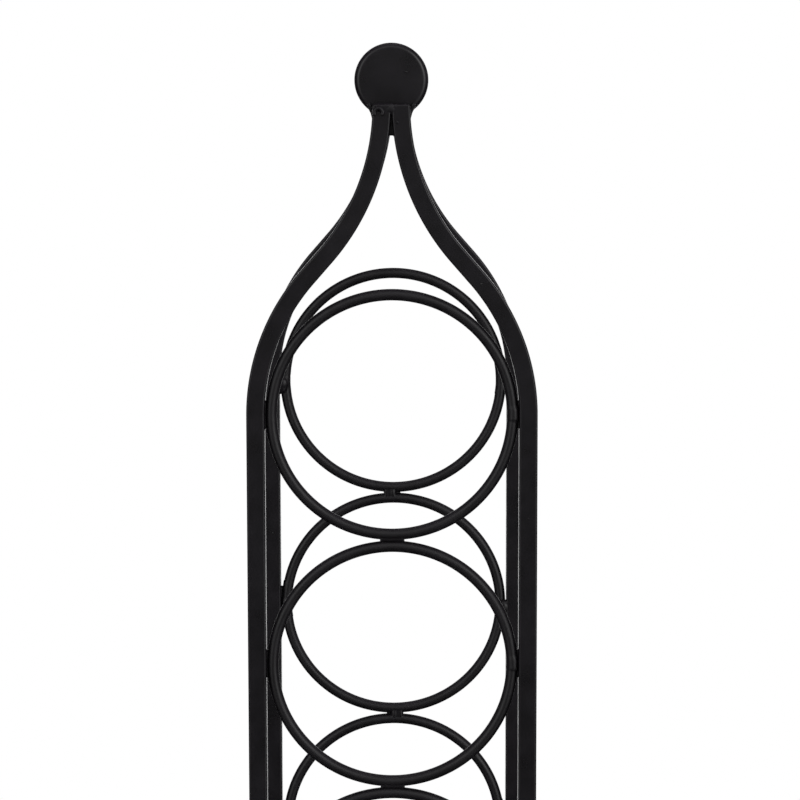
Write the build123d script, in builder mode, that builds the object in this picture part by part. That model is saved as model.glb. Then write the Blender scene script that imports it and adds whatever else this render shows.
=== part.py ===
"""Tall, narrow wine rack of black steel for seven bottles.

Two flat frames stand one behind the other. In each, a left and a right upright of square bar
rise straight, turn inwards in an ogee above the top ring and meet at the neck. Seven rings of
round wire are stacked between them, each welded to the next ring and to both uprights, so a
bottle lies on one front ring and one rear ring. A round tube runs from front to rear between
the two necks and is the handle. Square rails join the frames above the feet.

Units are millimetres. +Z is up, -Y is the front, and the origin is on the floor at the middle.
"""

from build123d import *

import os
from math import cos, radians, sin

os.makedirs("parts", exist_ok=True)

# Stock
BAR = 8.0  # side of the square bar
BAR_EDGE = 0.9  # rolled corner of the bar
WIRE = 5.0  # diameter of the ring wire
WELD_GAP = 0.3  # fit-up gap between two pieces that are welded

# Rings
RING_COUNT = 7
RING_BORE = 100.0  # clears a sparkling-wine bottle
RING_RADIUS = (RING_BORE + WIRE) / 2  # to the middle of the wire
RING_OUTSIDE = RING_BORE + 2 * WIRE
RING_PITCH = RING_OUTSIDE + WELD_GAP
LOWEST_RING = 125.0  # height of the lowest ring's centre
TOP_RING = LOWEST_RING + (RING_COUNT - 1) * RING_PITCH

# Frames
FRAME_SPACING = 142.0  # between the middle planes of the front and the rear frame
INSIDE_WIDTH = RING_OUTSIDE + 2 * WELD_GAP
UPRIGHT_X = (INSIDE_WIDTH + BAR) / 2
SHOULDER_RADIUS = 91.0
NECK_RADIUS = 99.0
OGEE_ANGLE = 41.2
NECK_X = (BAR + WELD_GAP) / 2
OGEE_WIDTH = (SHOULDER_RADIUS + NECK_RADIUS) * (1 - cos(radians(OGEE_ANGLE)))
TAPER_LENGTH = (UPRIGHT_X - NECK_X - OGEE_WIDTH) / sin(radians(OGEE_ANGLE))
NECK_TOP = (
    TOP_RING
    + (SHOULDER_RADIUS + NECK_RADIUS) * sin(radians(OGEE_ANGLE))
    + TAPER_LENGTH * cos(radians(OGEE_ANGLE))
)

# Handle
HANDLE_DIAMETER = 32.0
HANDLE_WALL = 1.5
NECK_LAP = 5.6  # how far the bars reach up over the handle's end face
HANDLE_Z = NECK_TOP - NECK_LAP + HANDLE_DIAMETER / 2
HANDLE_FACE = (FRAME_SPACING - BAR) / 2  # the bars lie flat on the end caps
CAP_FLANGE = 3.0
CAP_EDGE = 2.5
CAP_SPIGOT = 6.0
CAP_CLEARANCE = 0.1

# Base
RAIL_Z = LOWEST_RING - RING_OUTSIDE / 2 - WELD_GAP - BAR / 2
FOOT_FLOOR = 3.0  # thickness of the foot under the bar
FOOT_SIDE = 11.5
FOOT_HEIGHT = 15.0
FOOT_CLEARANCE = 0.1
FOOT_CORNER = 1.2
FOOT_RIM = 0.8
FOOT_TREAD = 0.5

# Weld beads, each on the side of its frame that faces the other frame
RING_BEAD_LENGTH = 10.5
RING_BEAD_RADIUS = 2.3
RING_BEAD_OFFSET = 1.1  # from the frame's middle plane
SIDE_BEAD_LENGTH = 12.0
SIDE_BEAD_RADIUS = 2.2
SIDE_BEAD_INSET = 0.6  # from the upright's inner face
SIDE_BEAD_OFFSET = 2.4
NECK_BEAD_RADIUS = 2.4  # on top of each bar, in the corner against the end cap
NECK_BEAD_LENGTH = 6.4
NECK_SIDE_RADIUS = 2.2  # beside each bar's outer side, in the corner against the end cap
NECK_SIDE_DROP = 1.5
NECK_SIDE_DEPTH = 2.0
NECK_FILL_HEIGHT = 13.3  # in the narrow V between the bars
NECK_FILL_WIDTH = 2.6
NECK_FILL_DEPTH = 4.4
RAIL_BEAD_RADIUS = 2.2
RAIL_BEAD_LENGTH = 6.4

FRAMES = {"front": -1, "rear": 1}
SIDES = {"left": -1, "right": 1}


def frame_y(end):
    """Middle plane of the frame at that end."""
    return end * FRAME_SPACING / 2


def ring_z(number):
    """Height of a ring's centre; ring 1 is the lowest."""
    return LOWEST_RING + (number - 1) * RING_PITCH


def save(part, name):
    """Name a finished piece and write it to its own file."""
    part.label = name
    export_step(part, f"parts/{name}.step")


def make_upright(end, side):
    """A square bar bent in its frame's plane: leg, shoulder, short straight, neck."""
    with BuildPart() as upright:
        with BuildSketch(Plane.XZ.offset(-frame_y(end))):
            with BuildLine():
                leg = Line((side * UPRIGHT_X, FOOT_FLOOR), (side * UPRIGHT_X, TOP_RING))
                shoulder = JernArc(leg @ 1, leg % 1, SHOULDER_RADIUS, side * OGEE_ANGLE)
                taper = PolarLine(shoulder @ 1, TAPER_LENGTH, direction=shoulder % 1)
                JernArc(taper @ 1, taper % 1, NECK_RADIUS, -side * OGEE_ANGLE)
            trace(line_width=BAR)
        extrude(amount=BAR / 2, both=True)
        flats = upright.faces().filter_by(Axis.Y)
        rims = flats.edges().filter_by(lambda edge: edge.length > BAR + BAR_EDGE)
        fillet(rims, BAR_EDGE)
    return upright.part


def make_ring(end, number):
    """A closed hoop of round wire in its frame's middle plane."""
    with BuildPart() as ring:
        with BuildSketch(Plane((RING_RADIUS, frame_y(end), ring_z(number)))):
            Circle(WIRE / 2)
        revolve(axis=Axis((0, frame_y(end), ring_z(number)), (0, 1, 0)))
    return ring.part


def make_handle_tube():
    """The tube between the two end caps."""
    with BuildPart() as tube:
        with BuildSketch(Plane.XZ):
            with Locations((0, HANDLE_Z)):
                Circle(HANDLE_DIAMETER / 2)
                Circle(HANDLE_DIAMETER / 2 - HANDLE_WALL, mode=Mode.SUBTRACT)
        extrude(amount=HANDLE_FACE - CAP_FLANGE, both=True)
    return tube.part


def make_handle_cap(end):
    """A flat disc with a rounded rim and a spigot that plugs the tube."""
    outer_face = Plane((0, end * HANDLE_FACE, HANDLE_Z), x_dir=(1, 0, 0), z_dir=(0, end, 0))
    with BuildPart() as cap:
        with BuildSketch(outer_face):
            Circle(HANDLE_DIAMETER / 2)
        extrude(amount=-CAP_FLANGE)
        fillet(cap.faces().sort_by(Axis((0, 0, 0), (0, end, 0)))[-1].edges(), CAP_EDGE)
        with BuildSketch(outer_face.offset(-CAP_FLANGE)):
            Circle(HANDLE_DIAMETER / 2 - HANDLE_WALL - CAP_CLEARANCE)
        extrude(amount=-CAP_SPIGOT)
    return cap.part


def make_lower_rail(end):
    """The bar under the lowest ring, from upright to upright."""
    with BuildPart() as rail:
        with BuildSketch(Plane.YZ):
            with Locations((frame_y(end), RAIL_Z)):
                RectangleRounded(BAR, BAR, BAR_EDGE)
        extrude(amount=INSIDE_WIDTH / 2, both=True)
    return rail.part


def make_side_rail(side):
    """The bar from the front upright to the rear upright."""
    with BuildPart() as rail:
        with BuildSketch(Plane.XZ):
            with Locations((side * UPRIGHT_X, RAIL_Z)):
                RectangleRounded(BAR, BAR, BAR_EDGE)
        extrude(amount=HANDLE_FACE, both=True)
    return rail.part


def make_foot(end, side):
    """A soft push-on cap with a square bore for the end of the bar."""
    base = Plane((side * UPRIGHT_X, frame_y(end), 0))
    with BuildPart() as foot:
        with BuildSketch(base):
            RectangleRounded(FOOT_SIDE, FOOT_SIDE, FOOT_CORNER)
        extrude(amount=FOOT_HEIGHT)
        chamfer(foot.faces().sort_by(Axis.Z)[-1].edges(), FOOT_RIM)
        chamfer(foot.faces().sort_by(Axis.Z)[0].edges(), FOOT_TREAD)
        with BuildSketch(base.offset(FOOT_FLOOR)):
            Rectangle(BAR + 2 * FOOT_CLEARANCE, BAR + 2 * FOOT_CLEARANCE)
        extrude(amount=FOOT_HEIGHT, mode=Mode.SUBTRACT)
    return foot.part


def make_ring_welds(end):
    """Beads in the grooves between the rings, and between the lowest ring and its rail.

    Each is a round section less the two pieces it joins, and less the outer half of the groove.
    """
    y = frame_y(end)
    joints = [ring_z(number) - RING_PITCH / 2 for number in range(1, RING_COUNT + 1)]
    to_wire = RING_PITCH / 2 - RING_RADIUS
    with BuildPart() as welds:
        for joint in joints:
            with BuildSketch(Plane.YZ):
                with Locations((y - end * RING_BEAD_OFFSET, joint)):
                    Circle(RING_BEAD_RADIUS)
                with Locations((y, joint + to_wire)):
                    Circle(WIRE / 2, mode=Mode.SUBTRACT)
                if joint == joints[0]:
                    with Locations((y, RAIL_Z)):
                        Rectangle(BAR, BAR, mode=Mode.SUBTRACT)
                else:
                    with Locations((y, joint - to_wire)):
                        Circle(WIRE / 2, mode=Mode.SUBTRACT)
                with Locations((y + end * WIRE / 2, joint)):
                    Rectangle(WIRE, 2 * WIRE, mode=Mode.SUBTRACT)
            extrude(amount=RING_BEAD_LENGTH / 2, both=True)
    return welds.part


def make_side_welds(end):
    """Beads in the grooves between each ring and the two uprights.

    Those of the top ring have only their lower half, because there the uprights turn in.
    """
    y = frame_y(end)
    half = SIDE_BEAD_LENGTH / 2
    with BuildPart() as welds:
        for number in range(1, RING_COUNT + 1):
            rise = half if number < RING_COUNT else 0
            with BuildSketch(Plane.XY.offset(ring_z(number) + rise)):
                for side in SIDES.values():
                    bead_x = side * (INSIDE_WIDTH / 2 - SIDE_BEAD_INSET)
                    with Locations((bead_x, y - end * SIDE_BEAD_OFFSET)):
                        Circle(SIDE_BEAD_RADIUS)
                    with Locations((side * RING_RADIUS, y)):
                        Circle(WIRE / 2, mode=Mode.SUBTRACT)
                    with Locations((side * UPRIGHT_X, y)):
                        Rectangle(BAR, BAR, mode=Mode.SUBTRACT)
            extrude(amount=-half - rise)
    return welds.part


def corner_fill(corner, radius, toward):
    """Quarter of a disc that fills a right-angled corner, in the sketch being built."""
    with Locations(corner):
        Circle(radius)
        Rectangle(2 * radius, radius, align=(Align.CENTER, Align.MAX), mode=Mode.SUBTRACT)
        across = (Align.MAX if toward > 0 else Align.MIN, Align.CENTER)
        Rectangle(radius, 2 * radius, align=across, mode=Mode.SUBTRACT)


def make_neck_welds(end):
    """Beads on top of each bar and down its outer side against the end cap, and the fill between.

    The fill closes the narrow V between the two bars.
    """
    inner_radius = NECK_RADIUS + BAR / 2
    outer_radius = NECK_RADIUS - BAR / 2
    with BuildPart() as welds:
        for side in SIDES.values():
            with BuildSketch(Plane.YZ.offset(side * NECK_X)):
                corner_fill((end * HANDLE_FACE, NECK_TOP), NECK_BEAD_RADIUS, end)
            extrude(amount=NECK_BEAD_LENGTH / 2, both=True)
            with BuildSketch(Plane.XZ.offset(-end * HANDLE_FACE)):
                with Locations((side * (NECK_X + BAR / 2), NECK_TOP - NECK_SIDE_DROP)):
                    Circle(NECK_SIDE_RADIUS)
                with Locations((side * (NECK_X + NECK_RADIUS), NECK_TOP)):
                    Circle(outer_radius, mode=Mode.INTERSECT)
            extrude(amount=-end * NECK_SIDE_DEPTH)
        with BuildSketch(Plane.XZ.offset(-frame_y(end))):
            with Locations((0, NECK_TOP - NECK_FILL_HEIGHT / 2)):
                Rectangle(NECK_FILL_WIDTH, NECK_FILL_HEIGHT)
            with Locations((-NECK_X - NECK_RADIUS, NECK_TOP), (NECK_X + NECK_RADIUS, NECK_TOP)):
                Circle(inner_radius, mode=Mode.SUBTRACT)
        extrude(amount=NECK_FILL_DEPTH / 2, both=True)
    return welds.part


def make_base_welds():
    """A bead in the upper corner at each end of the four rails."""
    rail_top = RAIL_Z + BAR / 2
    with BuildPart() as welds:
        for end in FRAMES.values():
            for side in SIDES.values():
                with BuildSketch(Plane.XZ.offset(-frame_y(end))):
                    corner_fill((side * INSIDE_WIDTH / 2, rail_top), RAIL_BEAD_RADIUS, -side)
                extrude(amount=RAIL_BEAD_LENGTH / 2, both=True)
                with BuildSketch(Plane.YZ.offset(side * UPRIGHT_X)):
                    corner_fill((end * HANDLE_FACE, rail_top), RAIL_BEAD_RADIUS, -end)
                extrude(amount=RAIL_BEAD_LENGTH / 2, both=True)
    return welds.part


for frame, end in FRAMES.items():
    for hand, side in SIDES.items():
        save(make_upright(end, side), f"{frame}_{hand}_upright")
        save(make_foot(end, side), f"{frame}_{hand}_foot")
    for number in range(1, RING_COUNT + 1):
        save(make_ring(end, number), f"{frame}_ring_{number}")
    save(make_lower_rail(end), f"{frame}_lower_rail")
    save(make_handle_cap(end), f"{frame}_handle_cap")
    save(make_ring_welds(end), f"{frame}_ring_welds")
    save(make_side_welds(end), f"{frame}_side_welds")
    save(make_neck_welds(end), f"{frame}_neck_welds")
for hand, side in SIDES.items():
    save(make_side_rail(side), f"{hand}_side_rail")
save(make_handle_tube(), "handle_tube")
save(make_base_welds(), "base_welds")
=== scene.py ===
"""Black steel wine rack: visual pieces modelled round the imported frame, their finishes and a stage.

Laid out as an add-on with one operator for each kind of piece, but run as a script. Lengths are
metres, +Z is up, -Y is the front, and the origin is on the floor at the middle of the rack.
"""

import math

import bmesh
import bpy
from bpy.props import FloatProperty, FloatVectorProperty, IntProperty, PointerProperty
from mathutils import Matrix, Vector


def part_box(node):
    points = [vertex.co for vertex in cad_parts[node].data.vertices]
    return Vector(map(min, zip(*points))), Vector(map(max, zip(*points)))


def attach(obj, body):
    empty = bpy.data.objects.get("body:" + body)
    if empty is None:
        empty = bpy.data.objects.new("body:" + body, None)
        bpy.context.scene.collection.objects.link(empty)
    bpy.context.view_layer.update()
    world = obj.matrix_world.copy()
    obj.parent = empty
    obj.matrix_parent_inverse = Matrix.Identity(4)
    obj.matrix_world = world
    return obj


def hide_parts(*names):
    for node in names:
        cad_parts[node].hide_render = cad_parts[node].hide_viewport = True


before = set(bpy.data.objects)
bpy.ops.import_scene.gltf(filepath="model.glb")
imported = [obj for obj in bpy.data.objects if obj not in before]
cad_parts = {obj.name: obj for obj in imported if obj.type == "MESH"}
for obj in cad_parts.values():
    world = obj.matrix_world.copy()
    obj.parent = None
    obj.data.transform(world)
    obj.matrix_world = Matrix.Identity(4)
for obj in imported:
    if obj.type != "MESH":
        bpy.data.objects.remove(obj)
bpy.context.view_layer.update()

bl_info = {
    "name": "Wine Rack",
    "version": (1, 0, 0),
    "blender": (4, 5, 0),
    "location": "View3D > Sidebar > Wine Rack",
    "description": "Models a welded steel wine rack round its packed frame",
    "category": "Object",
}

MM = 0.001
BODY = "root"
FRAMES = {"front": -1, "rear": 1}
HANDS = {"left": -1, "right": 1}
RING_COUNT = sum(name.startswith("front_ring_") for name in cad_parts) - 1
HALF_GAP = 0.15 * MM  # half of the gap that a weld bridges


# ---------------------------------------------------------------- places taken from the frame

def middle(node):
    """Centre of a CAD node's box."""
    low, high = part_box(node)
    return (low + high) / 2


def size_of(node):
    """Width, depth and height of a CAD node's box."""
    low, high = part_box(node)
    return high - low


def ring_centre(end_name, number):
    return middle(f"{end_name}_ring_{number}")


def upright_ends(end_name, hand_name):
    """Foot of the leg's centreline, and the height of the cut top of the bar."""
    low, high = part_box(f"{end_name}_{hand_name}_upright")
    half_bar = (high.y - low.y) / 2
    x = high.x - half_bar if HANDS[hand_name] > 0 else low.x + half_bar
    return Vector((x, (low.y + high.y) / 2, low.z)), high.z


# ---------------------------------------------------------------- sizes and colours

def linear(code):
    """Linear RGB of an sRGB hex colour."""
    channels = [int(code[i:i + 2], 16) / 255 for i in (1, 3, 5)]
    return tuple(c / 12.92 if c <= 0.04045 else ((c + 0.055) / 1.055) ** 2.4 for c in channels)


def length(name, description, millimetres):
    """A length property, given in millimetres."""
    return FloatProperty(name=name, description=description, default=millimetres * MM,
                         min=0.0, precision=5, unit="LENGTH")


def colour(name, description, code):
    """A colour property, given as sRGB hex."""
    return FloatVectorProperty(name=name, description=description, default=linear(code),
                               size=3, min=0.0, max=1.0, subtype="COLOR")


class RackSizes(bpy.types.PropertyGroup):
    """Stock sizes and bends of the steel, and the sizes of the weld beads."""

    bar: length("Bar", "Side of the square bar", 8.0)
    bar_edge: length("Bar corner", "Rolled corner of the square bar", 0.9)
    wire: length("Wire", "Diameter of the ring wire", 5.0)
    ring_bore: length("Ring bore", "Inside diameter of a ring", 100.0)
    shoulder: length("Shoulder radius", "Bend where an upright turns in, to its middle", 91.0)
    neck: length("Neck radius", "Bend where an upright turns up again, to its middle", 99.0)
    bend: FloatProperty(name="Bend", description="Angle of both bends of the ogee",
                        default=math.radians(41.2), min=0.1, max=1.4, subtype="ANGLE")
    cap_edge: length("Cap edge", "Rounding of the handle cap's rim", 2.5)
    cap_flange: length("Cap flange", "Thickness of the handle cap outside the tube", 3.0)
    handle_wall: length("Handle wall", "Wall of the handle tube", 1.5)
    ring_bead: length("Ring bead", "Length of the weld between two rings", 10.5)
    side_bead: length("Side bead", "Length of the weld between a ring and an upright", 12.0)
    weld_voxel: length("Weld detail", "Grain at which the weld metal is fused", 0.24)


class RackFinish(bpy.types.PropertyGroup):
    """Colours of the finishes and the grain of the powder coat."""

    coat_deep: colour("Coat, deep", "Darker tone of the powder coat", "#0A080B")
    coat_pale: colour("Coat, pale", "Lighter tone of the powder coat", "#120F14")
    rubber: colour("Foot rubber", "Moulded rubber of the feet", "#161616")
    rubber_bloom: colour("Rubber bloom", "Dull bloom on the rubber", "#232221")
    floor: colour("Floor", "Pale floor", "#F4F3F1")
    peel: length("Orange peel", "Width of a ripple in the powder coat", 0.9)
    mottle: length("Mottle", "Width of a patch of slightly different tone", 14.0)


class RackView(bpy.types.PropertyGroup):
    """Where the camera stands."""

    distance: length("Distance", "Camera in front of the middle of the rack", 1226.6)
    rise: length("Rise", "Camera above the top ring's centre", 138.7)
    offset: length("Offset", "Camera to the right of the middle", 5.0)
    pitch: FloatProperty(name="Pitch", description="Camera's tilt below the horizon",
                         default=math.radians(6.521), subtype="ANGLE")
    yaw: FloatProperty(name="Yaw", description="Camera's turn to the right",
                       default=math.radians(-0.074), subtype="ANGLE")
    roll: FloatProperty(name="Roll", description="Camera's lean to the left",
                        default=math.radians(-0.096), subtype="ANGLE")
    lens: FloatProperty(name="Lens", description="Focal length on a 36 mm sensor, in millimetres",
                        default=120.36, min=1.0)


# ---------------------------------------------------------------- modelling helpers

def clear_selection():
    """Leave edit mode and select nothing, because operators act on all that is selected."""
    if bpy.context.object and bpy.context.object.mode != "OBJECT":
        bpy.ops.object.mode_set(mode="OBJECT")
    bpy.ops.object.select_all(action="DESELECT")


def activate(*objects):
    """Select these objects alone; the first is the active one."""
    clear_selection()
    for obj in objects:
        obj.select_set(True)
    bpy.context.view_layer.objects.active = objects[0]


def edit(obj, select="SELECT"):
    """Enter edit mode on one object with all or none of it selected."""
    activate(obj)
    bpy.ops.object.mode_set(mode="EDIT")
    bpy.ops.mesh.select_mode(type="FACE")
    bpy.ops.mesh.select_all(action=select)


def pick_faces(obj, wanted):
    """In edit mode, select the faces whose centre and normal pass a test."""
    mesh = bmesh.from_edit_mesh(obj.data)
    for face in mesh.faces:
        face.select_set(bool(wanted(obj.matrix_world @ face.calc_center_median(), face.normal)))
    bmesh.update_edit_mesh(obj.data)


def pick_edges(obj, wanted):
    """In edit mode, select the edges whose two ends pass a test."""
    bpy.ops.mesh.select_mode(type="EDGE")
    mesh = bmesh.from_edit_mesh(obj.data)
    for edge in mesh.edges:
        ends = [obj.matrix_world @ vertex.co for vertex in edge.verts]
        edge.select_set(bool(wanted(*ends)))
    bmesh.update_edit_mesh(obj.data)


def close_up(obj, gap=0.001 * MM):
    """Merge seams, turn every face outwards and set the object down at the origin."""
    edit(obj)
    bpy.ops.mesh.remove_doubles(threshold=gap)
    bpy.ops.mesh.normals_make_consistent(inside=False)
    set_down(obj)


def set_down(obj):
    """Put the object's place, turn and scale into its mesh."""
    activate(obj)
    bpy.ops.object.transform_apply(location=True, rotation=True, scale=True)


def finish_modifiers(obj):
    """Apply every modifier on the object."""
    activate(obj)
    for modifier in list(obj.modifiers):
        bpy.ops.object.modifier_apply(modifier=modifier.name)


def round_corners(obj, width, segments=3):
    """Round every sharp edge, keeping the flats flat in shade."""
    activate(obj)
    bpy.ops.object.shade_smooth()
    bevel = obj.modifiers.new("corners", "BEVEL")
    bevel.width = width
    bevel.segments = segments
    bevel.limit_method = "ANGLE"
    bevel.angle_limit = math.radians(60)
    bevel.harden_normals = True
    finish_modifiers(obj)


def copy_of(master, name, matrix=Matrix.Identity(4)):
    """A copy with its own mesh, moved or mirrored by the matrix."""
    copy = master.copy()
    copy.data = master.data.copy()
    copy.name = name
    bpy.context.scene.collection.objects.link(copy)
    copy.data.transform(matrix)
    if matrix.determinant() < 0:
        copy.data.flip_normals()
    return copy


def joined(objects, name):
    """One object made of several."""
    activate(*objects)
    if len(objects) > 1:
        bpy.ops.object.join()
    piece = bpy.context.object
    piece.name = name
    return piece


def discard(*objects):
    for obj in objects:
        bpy.data.objects.remove(obj)


def mirror(x=1, y=1, z=1):
    return Matrix.Diagonal((x, y, z, 1))


def hand_over(piece, name, node, finish):
    """Name a finished piece, give it its material and let it stand for a CAD node."""
    piece.name = name
    piece.data.name = name
    piece.data.materials.clear()
    piece.data.materials.append(finish)
    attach(piece, BODY)
    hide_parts(node)


# ---------------------------------------------------------------- uprights

def model_upright(sizes):
    """The front right upright: a square bar extruded up the leg and spun round both bends."""
    foot, top = upright_ends("front", "right")
    shoulder_z = ring_centre("front", RING_COUNT).z
    sine, cosine = math.sin(sizes.bend), math.cos(sizes.bend)
    taper = (top - shoulder_z - (sizes.shoulder + sizes.neck) * sine) / cosine
    clear_selection()
    bpy.ops.mesh.primitive_plane_add(size=sizes.bar, location=foot)
    bar = bpy.context.object
    edit(bar)
    leg = {"value": (0, 0, shoulder_z - foot.z)}
    bpy.ops.mesh.extrude_region_move(TRANSFORM_OT_translate=leg)
    shoulder_centre = Vector((foot.x - sizes.shoulder, foot.y, shoulder_z))
    bpy.ops.mesh.spin(steps=48, angle=sizes.bend, center=shoulder_centre, axis=(0, 1, 0))
    straight = {"value": (-taper * sine, 0, taper * cosine)}
    bpy.ops.mesh.extrude_region_move(TRANSFORM_OT_translate=straight)
    outward = Vector((cosine, 0, sine))
    turn_point = shoulder_centre + sizes.shoulder * outward + Vector(straight["value"])
    neck_centre = turn_point + sizes.neck * outward
    bpy.ops.mesh.spin(steps=48, angle=-sizes.bend, center=neck_centre, axis=(0, 1, 0))
    close_up(bar)
    return bar


class RACK_OT_uprights(bpy.types.Operator):
    """Model the four bent uprights of square bar"""

    bl_idname = "rack.uprights"
    bl_label = "Uprights"
    bl_options = {"REGISTER", "UNDO"}

    def execute(self, context):
        sizes = context.scene.rack_sizes
        master = model_upright(sizes)
        for end_name, end in FRAMES.items():
            for hand_name, hand in HANDS.items():
                name = f"{end_name}_{hand_name}_upright"
                bar = copy_of(master, name + "_bar", mirror(x=hand, y=-end))
                round_corners(bar, sizes.bar_edge)
                hand_over(bar, name + "_bar", name, powder_coat())
        discard(master)
        return {"FINISHED"}


# ---------------------------------------------------------------- rings

BUTT_WELD_SPAN = math.radians(14)  # stretch of a ring with finer divisions, for its butt weld
BUTT_WELD_HEIGHT = 0.62 * MM
BUTT_WELD_REACH = 9  # mm along the wire, past which it keeps its stock size
GROUND_BACK = 0.22 * MM  # how far the weld may stand out towards the upright


def ring_radius(sizes):
    """From a ring's centre to the middle of its wire."""
    return (sizes.ring_bore + sizes.wire) / 2


def reach_of_ring(sizes):
    """From a ring's centre to the middle of a welded joint."""
    return ring_radius(sizes) + sizes.wire / 2 + HALF_GAP


def model_hoop(sizes):
    """A ring round the origin: wire spun round, closed by a butt weld at its right."""
    radius = ring_radius(sizes)
    start = BUTT_WELD_SPAN / 2
    place = (radius * math.cos(start), 0, radius * math.sin(start))
    clear_selection()
    bpy.ops.mesh.primitive_circle_add(vertices=28, radius=sizes.wire / 2, fill_type="NOTHING",
                                      location=place, rotation=(0, -start, 0))
    hoop = bpy.context.object
    edit(hoop)
    round_the_rest = 2 * math.pi - BUTT_WELD_SPAN
    bpy.ops.mesh.spin(steps=190, angle=round_the_rest, center=(0, 0, 0), axis=(0, 1, 0))
    bpy.ops.mesh.spin(steps=48, angle=BUTT_WELD_SPAN, center=(0, 0, 0), axis=(0, 1, 0))
    close_up(hoop)
    swell_butt_weld(hoop, radius, sizes.wire / 2)
    activate(hoop)
    bpy.ops.object.shade_smooth()
    return hoop


def swell_butt_weld(hoop, radius, wire_radius):
    """Raise the wire round its butt joint, mostly above the seam, where the ends meet in a step.

    The swelling is ground back on the outside, where the upright stands.
    """
    for vertex in hoop.data.vertices:
        angle = math.atan2(vertex.co.z, vertex.co.x)
        core = Vector((radius * math.cos(angle), 0, radius * math.sin(angle)))
        along = angle * radius / MM
        if abs(along) > BUTT_WELD_REACH:
            continue
        out = (vertex.co - core).normalized()
        share = 0.45 + 0.55 * out.dot(core.normalized())
        swell = math.exp(-(((along - 0.4) / 3.1) ** 6))
        seam = 0.14 * math.exp(-(((along + 2.6) / 0.5) ** 2))
        vertex.co += out * BUTT_WELD_HEIGHT * (share * swell - seam)
        reach = Vector((vertex.co.x, vertex.co.z)).length
        limit = radius + wire_radius + GROUND_BACK
        if reach > limit:
            vertex.co.x *= limit / reach
            vertex.co.z *= limit / reach


class RACK_OT_rings(bpy.types.Operator):
    """Model the wire rings of both frames"""

    bl_idname = "rack.rings"
    bl_label = "Rings"
    bl_options = {"REGISTER", "UNDO"}

    def execute(self, context):
        master = model_hoop(context.scene.rack_sizes)
        for end_name, end in FRAMES.items():
            turn = Matrix.Rotation(math.pi if end > 0 else 0, 4, "Y")
            for number in range(1, RING_COUNT + 1):
                node = f"{end_name}_ring_{number}"
                place = Matrix.Translation(ring_centre(end_name, number)) @ turn
                hoop = copy_of(master, node + "_hoop", place)
                hand_over(hoop, node + "_hoop", node, coated_wire())
        discard(master)
        return {"FINISHED"}


# ---------------------------------------------------------------- handle

def model_handle_tube(sizes):
    """The tube: a cylinder bored through, with its outer ends eased."""
    centre, size = middle("handle_tube"), size_of("handle_tube")
    clear_selection()
    bpy.ops.mesh.primitive_cylinder_add(vertices=128, radius=size.z / 2, depth=size.y,
                                        location=centre, rotation=(math.pi / 2, 0, 0))
    tube = bpy.context.object
    set_down(tube)
    edit(tube, "DESELECT")
    pick_faces(tube, lambda place, normal: abs(normal.y) > 0.9)
    bpy.ops.mesh.inset(thickness=sizes.handle_wall, use_individual=True)
    bpy.ops.mesh.bridge_edge_loops()
    close_up(tube)
    round_corners(tube, 0.25 * MM, segments=2)
    return tube


def model_handle_cap(sizes):
    """The front cap: a disc with a rounded rim, and a spigot into the tube."""
    low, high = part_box("front_handle_cap")
    radius = (high.z - low.z) / 2
    spigot_length = high.y - low.y - sizes.cap_flange
    spigot_step = sizes.handle_wall + 0.1 * MM
    flange_middle = Vector((middle("front_handle_cap").x, low.y + sizes.cap_flange / 2,
                            middle("front_handle_cap").z))
    clear_selection()
    bpy.ops.mesh.primitive_cylinder_add(vertices=128, radius=radius, depth=sizes.cap_flange,
                                        location=flange_middle, rotation=(math.pi / 2, 0, 0))
    cap = bpy.context.object
    set_down(cap)
    edit(cap, "DESELECT")
    pick_faces(cap, lambda place, normal: normal.y > 0.9)
    bpy.ops.mesh.inset(thickness=spigot_step)
    bpy.ops.mesh.extrude_region_move(TRANSFORM_OT_translate={"value": (0, spigot_length, 0)})
    front = low.y + 0.1 * MM
    pick_edges(cap, lambda a, b: a.y < front and b.y < front)
    bpy.ops.mesh.bevel(offset=sizes.cap_edge, segments=8, profile=0.5, affect="EDGES")
    close_up(cap)
    round_corners(cap, 0.2 * MM, segments=2)
    return cap


class RACK_OT_handle(bpy.types.Operator):
    """Model the handle tube and its two end caps"""

    bl_idname = "rack.handle"
    bl_label = "Handle"
    bl_options = {"REGISTER", "UNDO"}

    def execute(self, context):
        sizes = context.scene.rack_sizes
        tube = model_handle_tube(sizes)
        hand_over(tube, "handle_tube_body", "handle_tube", powder_coat())
        master = model_handle_cap(sizes)
        for end_name, end in FRAMES.items():
            node = f"{end_name}_handle_cap"
            cap = copy_of(master, node + "_disc", Matrix.Rotation(math.pi if end > 0 else 0, 4, "Z"))
            hand_over(cap, node + "_disc", node, powder_coat())
        discard(master)
        return {"FINISHED"}


# ---------------------------------------------------------------- rails

def model_rail(node, sizes):
    """A cut length of square bar with rolled corners."""
    clear_selection()
    bpy.ops.mesh.primitive_cube_add(size=1, location=middle(node), scale=size_of(node))
    rail = bpy.context.object
    set_down(rail)
    round_corners(rail, sizes.bar_edge)
    return rail


class RACK_OT_rails(bpy.types.Operator):
    """Model the lower rails and the side rails"""

    bl_idname = "rack.rails"
    bl_label = "Rails"
    bl_options = {"REGISTER", "UNDO"}

    def execute(self, context):
        nodes = [f"{end}_lower_rail" for end in FRAMES] + [f"{hand}_side_rail" for hand in HANDS]
        for node in nodes:
            rail = model_rail(node, context.scene.rack_sizes)
            hand_over(rail, node + "_bar", node, powder_coat())
        return {"FINISHED"}


# ---------------------------------------------------------------- feet

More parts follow.
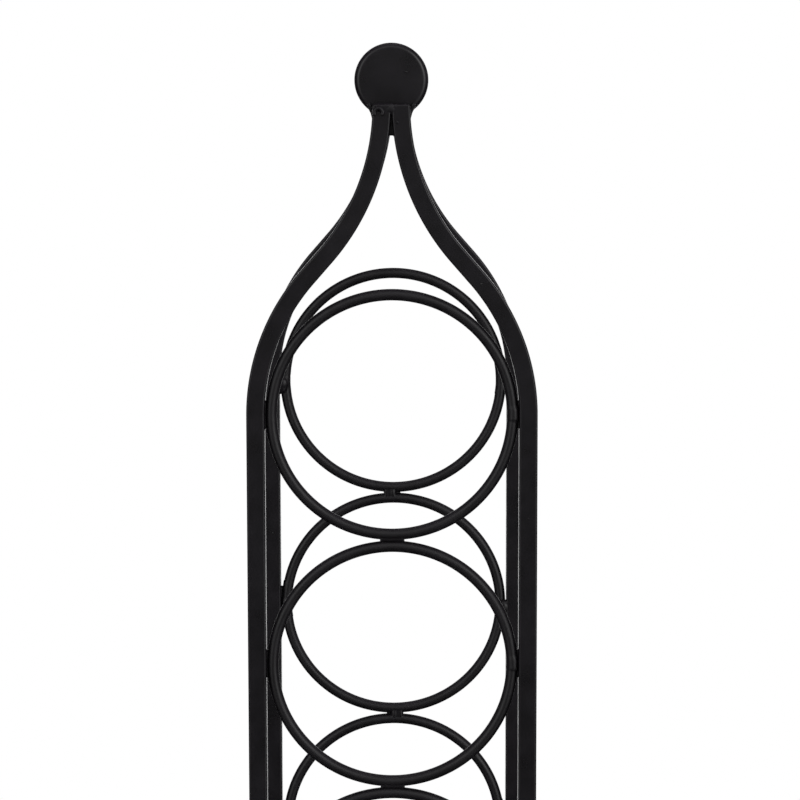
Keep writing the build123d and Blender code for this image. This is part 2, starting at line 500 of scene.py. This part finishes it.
FOOT_TREAD = 1.1  # mm, width of the rim that stands on the floor
FOOT_HOLLOW = 0.6  # mm, depth of the hollow under the foot
FOOT_GROOVE = 0.93  # share of the full width at a groove and at a rounded end
FOOT_STEPS = (  # height in mm and share of the full width, from the floor up
    (0.5, 1.0),
    (9.6, 0.985),
    (9.9, FOOT_GROOVE),
    (10.5, FOOT_GROOVE),
    (10.8, 0.985),
    (11.6, 0.985),
    (11.9, FOOT_GROOVE),
    (12.5, FOOT_GROOVE),
    (12.8, 0.99),
    (14.5, 0.985),
    (15.0, FOOT_GROOVE),
)


def model_foot(sizes):
    """The front right foot: a rounded square raised in steps, bored for the bar, hollow below."""
    node = "front_right_foot"
    low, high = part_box(node)
    centre = middle(node)
    width = high.x - low.x
    clear_selection()
    bpy.ops.mesh.primitive_plane_add(size=width, location=(centre.x, centre.y, low.z))
    foot = bpy.context.object
    edit(foot)
    bpy.ops.mesh.bevel(offset=1.8 * MM, segments=5, affect="VERTICES")
    bpy.ops.mesh.select_mode(type="FACE")
    bpy.ops.mesh.select_all(action="SELECT")
    share, rise = FOOT_GROOVE, 0.0
    resize_flat(share, centre)
    for height, next_share in FOOT_STEPS:
        step = {"value": (0, 0, height * MM - rise)}
        bpy.ops.mesh.extrude_region_move(TRANSFORM_OT_translate=step)
        resize_flat(next_share / share, centre)
        share, rise = next_share, height * MM
    bore = sizes.bar + 0.2 * MM
    bpy.ops.mesh.inset(thickness=(width * share - bore) / 2)
    floor_of_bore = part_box("front_right_upright")[0].z
    bpy.ops.mesh.extrude_region_move(TRANSFORM_OT_translate={"value": (0, 0, floor_of_bore - rise)})
    pick_faces(foot, lambda place, normal: place.z < low.z + 0.01 * MM)
    bpy.ops.mesh.inset(thickness=FOOT_TREAD * MM)
    bpy.ops.mesh.extrude_region_move(TRANSFORM_OT_translate={"value": (0, 0, FOOT_HOLLOW * MM)})
    close_up(foot)
    round_corners(foot, 0.12 * MM, segments=2)
    return foot


def resize_flat(share, centre):
    """Scale the selection in width and depth about the foot's middle."""
    bpy.ops.transform.resize(value=(share, share, 1), center_override=centre)


class RACK_OT_feet(bpy.types.Operator):
    """Model the four push-on feet"""

    bl_idname = "rack.feet"
    bl_label = "Feet"
    bl_options = {"REGISTER", "UNDO"}

    def execute(self, context):
        master = model_foot(context.scene.rack_sizes)
        for end_name, end in FRAMES.items():
            for hand_name, hand in HANDS.items():
                node = f"{end_name}_{hand_name}_foot"
                foot = copy_of(master, node + "_cap", mirror(x=hand, y=-end))
                hand_over(foot, node + "_cap", node, foot_rubber())
        discard(master)
        return {"FINISHED"}


# ---------------------------------------------------------------- weld metal

SINK = 0.12 * MM  # how far the stubs under a weld lie below the steel, so that only the weld shows


def drop(centre, radii, turn=(0, 0, 0)):
    """A drop of weld metal: an ellipsoid, sizes in millimetres."""
    bpy.ops.mesh.primitive_uv_sphere_add(
        segments=24, ring_count=16, radius=1, rotation=turn,
        location=Vector(centre) * MM, scale=Vector(radii) * MM)
    return bpy.context.object


def block(centre, size, turn=(0, 0, 0)):
    """A stub of bar under a weld or a flat run of weld metal, sizes in millimetres."""
    bpy.ops.mesh.primitive_cube_add(size=1, rotation=turn, location=Vector(centre) * MM,
                                    scale=Vector(size) * MM)
    return bpy.context.object


def rod_arc(hub, radius, rod_radius, start, sweep, sides, steps):
    """A solid arc of round rod about a hub, in the plane of a frame."""
    place = hub + radius * Vector((math.cos(start), 0, math.sin(start)))
    bpy.ops.object.select_all(action="DESELECT")
    bpy.ops.mesh.primitive_circle_add(vertices=sides, radius=rod_radius, location=place,
                                      fill_type="NGON", rotation=(0, -start, 0))
    arc = bpy.context.object
    bpy.ops.object.mode_set(mode="EDIT")
    bpy.ops.mesh.select_all(action="SELECT")
    bpy.ops.mesh.spin(steps=steps, angle=sweep, center=hub, axis=(0, 1, 0))
    bpy.ops.mesh.select_all(action="SELECT")
    bpy.ops.mesh.normals_make_consistent(inside=False)
    bpy.ops.object.mode_set(mode="OBJECT")
    return arc


def wire_stub(centre, towards, sizes, half_span):
    """A short arc of ring wire, whose middle lies from the ring's centre at the angle given."""
    return rod_arc(centre, ring_radius(sizes), sizes.wire / 2 - SINK, towards - half_span,
                   2 * half_span, sides=24, steps=14)


def crossing_stubs(sizes):
    """The wires of two rings, one above the other, where they meet at the origin."""
    to_centre = Vector((0, 0, reach_of_ring(sizes)))
    span = math.radians(9)
    return [
        wire_stub(to_centre, -math.pi / 2, sizes, span),
        wire_stub(-to_centre, math.pi / 2, sizes, span),
    ]


def upright_stub(sizes, height, span):
    """The half of the right upright next to a side weld, height and span in millimetres."""
    bar, sink = sizes.bar / MM, SINK / MM
    centre = (HALF_GAP / MM + bar / 4 + sink, 1.0, height)
    return block(centre, (bar / 2, bar - 2 - 2 * sink, span))


def along_bead(half, end, count):
    """Places of the drops along a bead, evenly spaced and kept clear of its two ends."""
    return [-half + end + (2 * half - 2 * end) * step / (count - 1) for step in range(count)]


def fused(parts, name, sizes, passes=8, keep=0.3):
    """Melt overlapping solids into one skin with soft fillets."""
    weld = joined(parts, name)
    set_down(weld)
    remesh = weld.modifiers.new("melt", "REMESH")
    remesh.mode = "VOXEL"
    remesh.voxel_size = sizes.weld_voxel
    remesh.use_smooth_shade = True
    settle = weld.modifiers.new("settle", "SMOOTH")
    settle.factor = 0.5
    settle.iterations = passes
    thin = weld.modifiers.new("thin", "DECIMATE")
    thin.ratio = keep
    finish_modifiers(weld)
    activate(weld)
    bpy.ops.object.shade_smooth()
    return weld


def model_long_bead(sizes):
    """Weld along the groove between two rings, joint at the origin, bead on the +Y side."""
    parts = crossing_stubs(sizes)
    half = sizes.ring_bead / MM / 2
    parts.append(block((0, -0.5, 0.65), (2 * half - 0.4, 2.8, 1.7)))
    for step, x in enumerate(along_bead(half, 1.6, 5)):
        swell = 0.12 * math.sin(2.3 * step + 0.6)
        parts.append(drop((x, 1.2, 0.1 * swell), (1.75, 1.9 + swell, 2.5 + swell)))
    return fused(parts, "long_bead", sizes)


def model_short_bead(sizes):
    """Weld over the crossing of two rings: two ridges and a pit, bead on the +Y side."""
    parts = crossing_stubs(sizes) + [
        block((-1.7, 1.0, 0.1), (4.6, 2.6, 6.0)),
        drop((-3.5, 1.0, 0.0), (1.2, 1.5, 3.6), (0, 0.08, 0)),
        drop((-0.2, 1.1, 0.1), (1.5, 1.55, 3.8), (0, -0.10, 0)),
        drop((1.7, -0.9, 0.0), (1.8, 1.0, 1.0)),
    ]
    return fused(parts, "short_bead", sizes, passes=24)


def model_side_bead(sizes):
    """Weld along the groove between a ring and the right upright, bead on the +Y side.

    The origin is the ring's widest point, midway between the wire and the bar.
    """
    wire_centre = Vector((-reach_of_ring(sizes), 0, 0))
    half = sizes.side_bead / MM / 2
    parts = [
        wire_stub(wire_centre, 0, sizes, math.radians(10)),
        upright_stub(sizes, 0, 2.6 * half),
    ]
    for step, z in enumerate(along_bead(half, 1.5, 5)):
        swell = 0.14 * math.sin(1.9 * step + 0.3)
        parts.append(drop((-0.85, 1.9, z), (1.9 + swell, 1.9 + swell, 1.9)))
    parts.append(block((-0.2, 0.4, 0), (0.9, 1.6, 2 * half - 0.8)))
    return fused(parts, "side_bead", sizes)


def model_side_blob(sizes):
    """A short, fat weld between a ring and the right upright, just below the ring's middle."""
    wire_centre = Vector((-reach_of_ring(sizes), 0, 0))
    parts = [
        wire_stub(wire_centre, -math.radians(2), sizes, math.radians(9)),
        upright_stub(sizes, -2, 14),
        drop((-1.1, 1.9, -1.2), (3.2, 2.5, 3.4)),
        drop((-1.0, 1.7, -3.0), (2.9, 2.3, 3.2)),
        block((-0.2, 0.8, -2.6), (1.6, 3.0, 7.6)),
    ]
    return fused(parts, "side_blob", sizes, passes=16)


def model_rail_seat_bead(sizes):
    """Weld between the lowest ring and the rail under it, bead on the +Y side."""
    ring_middle = Vector((0, 0, reach_of_ring(sizes)))
    bar = sizes.bar / MM
    half = sizes.ring_bead / MM / 2
    parts = [
        wire_stub(ring_middle, -math.pi / 2, sizes, math.radians(9)),
        block((0, 0.8, -(HALF_GAP + SINK) / MM - bar / 4), (2.4 * half, bar - 2, bar / 2)),
    ]
    for step, x in enumerate(along_bead(half, 1.6, 5)):
        swell = 0.12 * math.sin(2.1 * step)
        parts.append(drop((x, 1.9, 0.5), (1.8, 1.6 + swell, 1.7 + swell)))
    return fused(parts, "rail_seat_bead", sizes)


class RACK_OT_ring_welds(bpy.types.Operator):
    """Model the welds between the rings and under the lowest ring"""

    bl_idname = "rack.ring_welds"
    bl_label = "Ring welds"
    bl_options = {"REGISTER", "UNDO"}

    def execute(self, context):
        sizes = context.scene.rack_sizes
        clear_selection()
        beads = {"front": model_long_bead(sizes), "rear": model_short_bead(sizes)}
        seat = model_rail_seat_bead(sizes)
        for end_name, end in FRAMES.items():
            parts = []
            for number in range(2, RING_COUNT + 1):
                joint = (ring_centre(end_name, number) + ring_centre(end_name, number - 1)) / 2
                flip = -1 if (RING_COUNT - number) % 2 else 1
                place = Matrix.Translation(joint) @ mirror(x=flip, y=-end)
                parts.append(copy_of(beads[end_name], "bead", place))
            low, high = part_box(f"{end_name}_ring_1")
            rail_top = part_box(f"{end_name}_lower_rail")[1].z
            joint = Vector((0, (low.y + high.y) / 2, (low.z + rail_top) / 2))
            parts.append(copy_of(seat, "bead", Matrix.Translation(joint) @ mirror(y=-end)))
            node = f"{end_name}_ring_welds"
            welds = joined(parts, node + "_metal")
            hand_over(welds, node + "_metal", node, coated_weld())
        discard(seat, *beads.values())
        return {"FINISHED"}


REAR_BEAD_RISE = 2.2 * MM  # the rear frame's long side beads sit this far above a ring's middle


class RACK_OT_side_welds(bpy.types.Operator):
    """Model the welds between the rings and the uprights"""

    bl_idname = "rack.side_welds"
    bl_label = "Side welds"
    bl_options = {"REGISTER", "UNDO"}

    def execute(self, context):
        sizes = context.scene.rack_sizes
        clear_selection()
        long, short = model_side_bead(sizes), model_side_blob(sizes)
        for end_name, end in FRAMES.items():
            parts = []
            for number in range(1, RING_COUNT + 1):
                for hand_name, hand in HANDS.items():
                    bar = upright_ends(end_name, hand_name)[0]
                    joint = ring_centre(end_name, number)
                    joint.x = bar.x - hand * (sizes.bar / 2 + HALF_GAP)
                    blob = end > 0 and (number + (hand > 0)) % 2
                    if end > 0 and not blob:
                        joint.z += REAR_BEAD_RISE
                    flip = -1 if number % 2 and not blob else 1
                    side = -1 if blob else 1  # blobs face the front, long beads lie behind the wire
                    place = Matrix.Translation(joint) @ mirror(x=hand, y=side, z=flip)
                    parts.append(copy_of(short if blob else long, "bead", place))
            node = f"{end_name}_side_welds"
            welds = joined(parts, node + "_metal")
            hand_over(welds, node + "_metal", node, coated_weld())
        discard(long, short)
        return {"FINISHED"}


def curl(centre, radius, thickness, start, sweep):
    """A curl of weld metal: part of a small hoop facing the front, sizes in millimetres."""
    return rod_arc(Vector(centre) * MM, radius * MM, thickness * MM, start, sweep, sides=16, steps=16)


def model_neck_weld(sizes):
    """Weld metal at the front neck. The origin is between the bar tops, in the frame's plane.

    A fill joins the two bars, low beads close the corners against the end cap, and a drop with a
    curled lip and a crater sits over the top of the left bar.
    """
    face = sizes.bar / MM / 2
    parts = [
        block((-0.1, 0.3, -2.3), (2.6, 2 * face + 0.3, 3.9)),
        drop((-0.3, -face + 1.15, -2.2), (3.9, 1.3, 2.6)),
        block((0, face + 0.9, 0.0), (15.6, 1.4, 3.0)),
        drop((-3.6, face - 0.4, -0.1), (4.2, 1.3, 0.6)),
        drop((4.0, face - 0.4, -0.2), (4.0, 1.2, 0.45)),
        drop((-5.6, -0.6, -0.9), (2.8, 3.5, 1.6)),
        drop((-5.3, -face + 0.6, -1.9), (2.5, 0.95, 1.6)),
        curl((-5.5, -face - 0.25, -3.5), 1.8, 0.9, -0.7, math.pi + 1.4),
    ]
    for hand in HANDS.values():
        parts.append(block((hand * 9.1, face - 1.1, -1.7), (1.6, 2.8, 4.6), (0, hand * 0.45, 0)))
        parts.append(block((hand * 8.0, face - 1.1, -4.8), (1.4, 2.8, 4.2), (0, hand * 0.25, 0)))
    return fused(parts, "neck_top", sizes, passes=6, keep=0.35)


def model_neck_fill(sizes):
    """Metal in the V between the bars, with a rounded lower edge."""
    parts = [
        block((0, 1.9, -8.0), (1.5, 1.8, 8.6)),
        block((0, 1.9, -11.4), (3.0, 1.8, 4.0)),
        drop((-1.5, 1.9, -13.5), (0.6, 0.9, 0.7)),
        drop((1.5, 1.9, -13.5), (0.6, 0.9, 0.7)),
    ]
    return fused(parts, "neck_fill", sizes, passes=4, keep=0.35)


def model_spatter():
    """Two beads of spatter caught under the coat: on the end cap and on the right bar."""
    spots = [drop((6.4, 4.0, 13.8), (0.8, 0.5, 0.6)), drop((2.6, -4.0, -7.6), (0.6, 0.42, 0.6))]
    spatter = joined(spots, "spatter")
    set_down(spatter)
    bpy.ops.object.shade_smooth()
    return spatter


class RACK_OT_neck_welds(bpy.types.Operator):
    """Model the welds that close each neck and hold the handle"""

    bl_idname = "rack.neck_welds"
    bl_label = "Neck welds"
    bl_options = {"REGISTER", "UNDO"}

    def execute(self, context):
        sizes = context.scene.rack_sizes
        clear_selection()
        masters = [model_neck_weld(sizes), model_neck_fill(sizes), model_spatter()]
        for end_name, end in FRAMES.items():
            foot, top = upright_ends(end_name, "right")
            neck = Vector((0, foot.y, top))
            place = Matrix.Translation(neck) @ mirror(y=-end)
            parts = [copy_of(master, "bead", place) for master in masters]
            node = f"{end_name}_neck_welds"
            welds = joined(parts, node + "_metal")
            hand_over(welds, node + "_metal", node, coated_weld())
        discard(*masters)
        return {"FINISHED"}


def model_corner_bead(sizes):
    """Weld in an upward corner: wall at -X, rail top below, bead along Y, origin in the corner."""
    half = 3.6
    parts = [
        block((-1.0 - SINK / MM, 0, 0), (2.0, 2 * half, 9.0)),
        block((2.0, 0, -1.0 - SINK / MM), (8.0, 2 * half, 2.0)),
    ]
    for step, y in enumerate(along_bead(half, 1.2, 4)):
        swell = 0.12 * math.sin(2.2 * step + 1)
        parts.append(drop((0.35, y, 0.35), (1.75 + swell, 1.5, 1.75 - swell)))
    return fused(parts, "corner_bead", sizes, passes=6)


class RACK_OT_base_welds(bpy.types.Operator):
    """Model the welds at the ends of the rails"""

    bl_idname = "rack.base_welds"
    bl_label = "Base welds"
    bl_options = {"REGISTER", "UNDO"}

    def execute(self, context):
        sizes = context.scene.rack_sizes
        clear_selection()
        master = model_corner_bead(sizes)
        parts = []
        for end_name, end in FRAMES.items():
            rail_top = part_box(f"{end_name}_lower_rail")[1].z
            for hand_name, hand in HANDS.items():
                leg = upright_ends(end_name, hand_name)[0]
                across = Vector((leg.x - hand * sizes.bar / 2, leg.y, rail_top))
                along = Vector((leg.x, leg.y - end * sizes.bar / 2, rail_top))
                quarter = Matrix.Rotation(-end * math.pi / 2, 4, "Z")
                parts.append(copy_of(master, "bead", Matrix.Translation(across) @ mirror(x=-hand)))
                parts.append(copy_of(master, "bead", Matrix.Translation(along) @ quarter))
        welds = joined(parts, "base_welds_metal")
        hand_over(welds, "base_welds_metal", "base_welds", coated_weld())
        discard(master)
        return {"FINISHED"}


# ---------------------------------------------------------------- finishes

def add_node(tree, kind, settings=(), links=()):
    """Add a node, set its properties and sockets, and link sockets to other nodes' outputs."""
    new = tree.nodes.new(kind)
    for key, value in dict(settings).items():
        if isinstance(key, str) and hasattr(new, key):
            setattr(new, key, value)
        else:
            new.inputs[key].default_value = value
    for key, output in dict(links).items():
        tree.links.new(output, new.inputs[key])
    return new


def new_material(name):
    """An empty node material."""
    material = bpy.data.materials.new(name)
    material.use_nodes = True
    material.node_tree.nodes.clear()
    return material


def ramp_colours(ramp, *stops):
    """Set a colour ramp's stops, each a position and a linear colour."""
    elements = ramp.color_ramp.elements
    while len(elements) < len(stops):
        elements.new(0.5)
    for element, (position, rgb) in zip(elements, stops):
        element.position = position
        element.color = (*rgb, 1)


def coat_material(name, peel_share, relief, roughness):
    """Polyester powder coat: tone, orange peel, dust nibs and gloss that varies a little."""
    if name in bpy.data.materials:
        return bpy.data.materials[name]
    finish = bpy.context.scene.rack_finish
    peel = peel_share * finish.peel
    material = new_material(name)
    tree = material.node_tree
    place = add_node(tree, "ShaderNodeTexCoord").outputs["Object"]
    patches = add_node(tree, "ShaderNodeTexNoise",
                       {"Scale": 1 / finish.mottle, "Detail": 3.0, "Roughness": 0.55},
                       {"Vector": place})
    tone = add_node(tree, "ShaderNodeValToRGB", links={"Fac": patches.outputs["Fac"]})
    ramp_colours(tone, (0.3, finish.coat_deep), (0.72, finish.coat_pale))
    ripples = add_node(tree, "ShaderNodeTexNoise",
                       {"Scale": 1 / peel, "Detail": 2.0, "Roughness": 0.45}, {"Vector": place})
    grain = add_node(tree, "ShaderNodeTexNoise",
                     {"Scale": 3.2 / peel, "Detail": 1.0, "Roughness": 0.5}, {"Vector": place})
    specks = add_node(tree, "ShaderNodeTexVoronoi", {"Scale": 1 / (11 * MM)}, {"Vector": place})
    nibs = add_node(tree, "ShaderNodeMapRange",
                    {"interpolation_type": "SMOOTHSTEP", "From Min": 0.0, "From Max": 0.042,
                     "To Min": 1.0, "To Max": 0.0},
                    {"Value": specks.outputs["Distance"]})
    peel_bump = add_node(tree, "ShaderNodeBump", {"Strength": relief, "Distance": 0.05 * MM},
                         {"Height": ripples.outputs["Fac"]})
    grain_bump = add_node(tree, "ShaderNodeBump", {"Strength": relief, "Distance": 0.012 * MM},
                          {"Height": grain.outputs["Fac"], "Normal": peel_bump.outputs["Normal"]})
    nib_bump = add_node(tree, "ShaderNodeBump", {"Strength": 1.0, "Distance": 0.16 * MM},
                        {"Height": nibs.outputs["Result"], "Normal": grain_bump.outputs["Normal"]})
    gloss = add_node(tree, "ShaderNodeMapRange",
                     {"From Min": 0.3, "From Max": 0.7,
                      "To Min": roughness - 0.04, "To Max": roughness + 0.05},
                     {"Value": patches.outputs["Fac"]})
    shader = add_node(tree, "ShaderNodeBsdfPrincipled",
                      {"IOR": 1.5, "Metallic": 0.0},
                      {"Base Color": tone.outputs["Color"], "Roughness": gloss.outputs["Result"],
                       "Normal": nib_bump.outputs["Normal"]})
    add_node(tree, "ShaderNodeOutputMaterial", links={"Surface": shader.outputs["BSDF"]})
    return material


def powder_coat():
    """Fine satin black powder coat on rolled steel: soft highlights, faint orange peel."""
    return coat_material("powder_coat_satin_black", peel_share=1.0, relief=0.08, roughness=0.3)


def coated_wire():
    """The same coat on drawn wire, where the powder wraps round and cures duller."""
    return coat_material("powder_coat_on_wire", peel_share=1.0, relief=0.12, roughness=0.42)


def coated_weld():
    """The same coat over weld metal: it lies thicker, so its ripples are wider and duller."""
    return coat_material("powder_coat_over_weld", peel_share=1.5, relief=0.2, roughness=0.33)


def foot_rubber():
    """Moulded soft PVC rubber: dull, with a faint grey bloom and the grain of a sparked mould."""
    if "moulded_rubber" in bpy.data.materials:
        return bpy.data.materials["moulded_rubber"]
    finish = bpy.context.scene.rack_finish
    material = new_material("moulded_rubber")
    tree = material.node_tree
    place = add_node(tree, "ShaderNodeTexCoord").outputs["Object"]
    bloom = add_node(tree, "ShaderNodeTexNoise",
                     {"Scale": 1 / (4 * MM), "Detail": 4.0, "Roughness": 0.6}, {"Vector": place})
    tone = add_node(tree, "ShaderNodeValToRGB", links={"Fac": bloom.outputs["Fac"]})
    ramp_colours(tone, (0.35, finish.rubber), (0.75, finish.rubber_bloom))
    grain = add_node(tree, "ShaderNodeTexNoise",
                     {"Scale": 1 / (0.35 * MM), "Detail": 2.0}, {"Vector": place})
    bump = add_node(tree, "ShaderNodeBump", {"Strength": 0.5, "Distance": 0.04 * MM},
                    {"Height": grain.outputs["Fac"]})
    gloss = add_node(tree, "ShaderNodeMapRange", {"To Min": 0.62, "To Max": 0.8},
                     {"Value": bloom.outputs["Fac"]})
    shader = add_node(tree, "ShaderNodeBsdfPrincipled", {"IOR": 1.5},
                      {"Base Color": tone.outputs["Color"], "Roughness": gloss.outputs["Result"],
                       "Normal": bump.outputs["Normal"]})
    add_node(tree, "ShaderNodeOutputMaterial", links={"Surface": shader.outputs["BSDF"]})
    return material


# ---------------------------------------------------------------- stage

FLOOR_RADIUS = 40.0
WALL_RIGHT = 2.7  # brightness of each side of the room, as the steel sees it
WALL_LEFT = 1.7
CEILING = 0.8
FRONT_HIGH = 0.2
FRONT_LOW = 0.02
OVERHEAD = 0.25
BEHIND = 0.05  # share of that light which is left beside and behind the rack
BACKDROP = 1.2
GLOW_START = 0.7  # distance from the rack where the floor begins to fade to pure white
GLOW_END = 1.9


def pale_floor():
    """Matt pale paper that fades into plain white light far from the rack, so no horizon shows."""
    material = new_material("pale_floor")
    tree = material.node_tree
    place = add_node(tree, "ShaderNodeTexCoord").outputs["Object"]
    reach = add_node(tree, "ShaderNodeVectorMath", {"operation": "LENGTH"}, {0: place})
    fade = add_node(tree, "ShaderNodeMapRange",
                    {"interpolation_type": "SMOOTHSTEP", "From Min": GLOW_START,
                     "From Max": GLOW_END}, {"Value": reach.outputs["Value"]})
    paper = add_node(tree, "ShaderNodeBsdfDiffuse",
                     {"Color": (*bpy.context.scene.rack_finish.floor, 1)})
    glow = add_node(tree, "ShaderNodeEmission", {"Color": (1, 1, 1, 1), "Strength": 1.0})
    mixed = add_node(tree, "ShaderNodeMixShader",
                     links={0: fade.outputs["Result"], 1: paper.outputs["BSDF"],
                            2: glow.outputs["Emission"]})
    add_node(tree, "ShaderNodeOutputMaterial", links={"Surface": mixed.outputs["Shader"]})
    return material


def studio_world():
    """White to the eye. To the steel: soft walls and a ceiling, and behind it, dark round a
    narrow white backdrop."""
    world = bpy.data.worlds.new("studio")
    bpy.context.scene.world = world
    world.use_nodes = True
    tree = world.node_tree
    tree.nodes.clear()
    towards = add_node(tree, "ShaderNodeTexCoord").outputs["Generated"]
    axes = add_node(tree, "ShaderNodeSeparateXYZ", links={"Vector": towards})

    def slope(axis, start, end, low, high):
        """Brightness that changes smoothly along one axis of the direction."""
        return add_node(tree, "ShaderNodeMapRange",
                        {"interpolation_type": "SMOOTHSTEP", "From Min": start, "From Max": end,
                         "To Min": low, "To Max": high},
                        {"Value": axes.outputs[axis]}).outputs["Result"]

    def combined(operation, first, second):
        return add_node(tree, "ShaderNodeMath", {"operation": operation},
                        {0: first, 1: second}).outputs["Value"]

    walls = combined("ADD", slope("X", 0.2, 0.6, 0.0, WALL_RIGHT),
                     slope("X", -0.6, -0.2, WALL_LEFT, 0.0))
    walls = combined("MULTIPLY", walls, slope("Z", -0.35, 0.25, 0.22, 1.0))
    room = combined("MAXIMUM", walls, slope("Z", 0.25, 0.65, 0.0, CEILING))
    room = combined("MAXIMUM", room, slope("Z", -0.45, 0.05, FRONT_LOW, FRONT_HIGH))
    room = combined("MULTIPLY", room, slope("Y", -0.75, -0.4, 1.0, BEHIND))
    room = combined("MAXIMUM", room, slope("Z", 0.7, 0.95, 0.0, OVERHEAD))
    room = combined("ADD", room, slope("Y", 0.86, 0.95, 0.0, BACKDROP))
    steel = add_node(tree, "ShaderNodeBackground", {"Color": (1, 1, 1, 1)}, {"Strength": room})
    eye = add_node(tree, "ShaderNodeBackground", {"Color": (1, 1, 1, 1), "Strength": 1.0})
    path = add_node(tree, "ShaderNodeLightPath")
    mixed = add_node(tree, "ShaderNodeMixShader",
                     links={0: path.outputs["Is Camera Ray"], 1: steel.outputs["Background"],
                            2: eye.outputs["Background"]})
    add_node(tree, "ShaderNodeOutputWorld", links={"Surface": mixed.outputs["Shader"]})


def softbox(name, place, aim, width, height, power):
    """A soft area light that points at a place and is not mirrored in the steel."""
    clear_selection()
    turn = (Vector(aim) - Vector(place)).to_track_quat("-Z", "Y").to_euler()
    bpy.ops.object.light_add(type="AREA", location=place, rotation=turn)
    light = bpy.context.object
    light.name = name
    light.data.shape = "RECTANGLE"
    light.data.size = width
    light.data.size_y = height
    light.data.energy = power
    light.visible_glossy = False
    return light


class RACK_OT_stage(bpy.types.Operator):
    """Set the floor, the lights and the camera"""

    bl_idname = "rack.stage"
    bl_label = "Stage"
    bl_options = {"REGISTER", "UNDO"}

    def execute(self, context):
        scene = context.scene
        scene.view_settings.view_transform = "Standard"
        scene.view_settings.look = "None"
        clear_selection()
        bpy.ops.mesh.primitive_circle_add(vertices=128, radius=FLOOR_RADIUS, fill_type="NGON",
                                          location=(0, 0, 0))
        floor = context.object
        floor.name = "pale_floor"
        floor.data.materials.append(pale_floor())
        floor.visible_glossy = False
        studio_world()
        chest = (0, 0, 0.8)
        softbox("softbox_right", (1.5, -0.25, 1.6), chest, 0.5, 1.2, 14)
        softbox("softbox_left", (-1.6, -0.25, 1.4), chest, 0.5, 1.2, 7)
        softbox("softbox_top", (0, 0.2, 2.6), (0, 0, 0), 1.8, 1.8, 60)
        self.camera(scene)
        return {"FINISHED"}

    def camera(self, scene):
        view = scene.rack_view
        top_ring = ring_centre("front", RING_COUNT)
        place = Vector((view.offset, -view.distance, top_ring.z + view.rise))
        turn = (Matrix.Rotation(-view.yaw, 4, "Z")
                @ Matrix.Rotation(math.pi / 2 - view.pitch, 4, "X")
                @ Matrix.Rotation(view.roll, 4, "Z"))
        clear_selection()
        bpy.ops.object.camera_add(location=place, rotation=turn.to_euler())
        camera = bpy.context.object
        camera.name = "camera"
        camera.data.sensor_width = 36
        camera.data.lens = view.lens
        camera.data.clip_end = 200
        scene.camera = camera


# ---------------------------------------------------------------- panel and registration

PIECE_OPERATORS = (
    RACK_OT_uprights,
    RACK_OT_rings,
    RACK_OT_handle,
    RACK_OT_rails,
    RACK_OT_feet,
    RACK_OT_ring_welds,
    RACK_OT_side_welds,
    RACK_OT_neck_welds,
    RACK_OT_base_welds,
    RACK_OT_stage,
)


class RACK_PT_sidebar(bpy.types.Panel):
    """Sizes, colours and pieces of the wine rack"""

    bl_label = "Wine Rack"
    bl_idname = "RACK_PT_sidebar"
    bl_space_type = "VIEW_3D"
    bl_region_type = "UI"
    bl_category = "Wine Rack"

    def draw(self, context):
        for title, group in (("Sizes", context.scene.rack_sizes),
                             ("Finish", context.scene.rack_finish),
                             ("View", context.scene.rack_view)):
            box = self.layout.box()
            box.label(text=title)
            for name in group.bl_rna.properties.keys():
                if name not in ("rna_type", "name"):
                    box.prop(group, name)
        column = self.layout.column(align=True)
        for operator in PIECE_OPERATORS:
            column.operator(operator.bl_idname)


CLASSES = (RackSizes, RackFinish, RackView, *PIECE_OPERATORS, RACK_PT_sidebar)


def register():
    for item in CLASSES:
        bpy.utils.register_class(item)
    bpy.types.Scene.rack_sizes = PointerProperty(type=RackSizes)
    bpy.types.Scene.rack_finish = PointerProperty(type=RackFinish)
    bpy.types.Scene.rack_view = PointerProperty(type=RackView)


def unregister():
    del bpy.types.Scene.rack_view
    del bpy.types.Scene.rack_finish
    del bpy.types.Scene.rack_sizes
    for item in reversed(CLASSES):
        bpy.utils.unregister_class(item)


def main():
    register()
    bpy.ops.rack.uprights()
    bpy.ops.rack.rings()
    bpy.ops.rack.handle()
    bpy.ops.rack.rails()
    bpy.ops.rack.feet()
    bpy.ops.rack.ring_welds()
    bpy.ops.rack.side_welds()
    bpy.ops.rack.neck_welds()
    bpy.ops.rack.base_welds()
    bpy.ops.rack.stage()
    clear_selection()


if __name__ == "__main__":
    main()
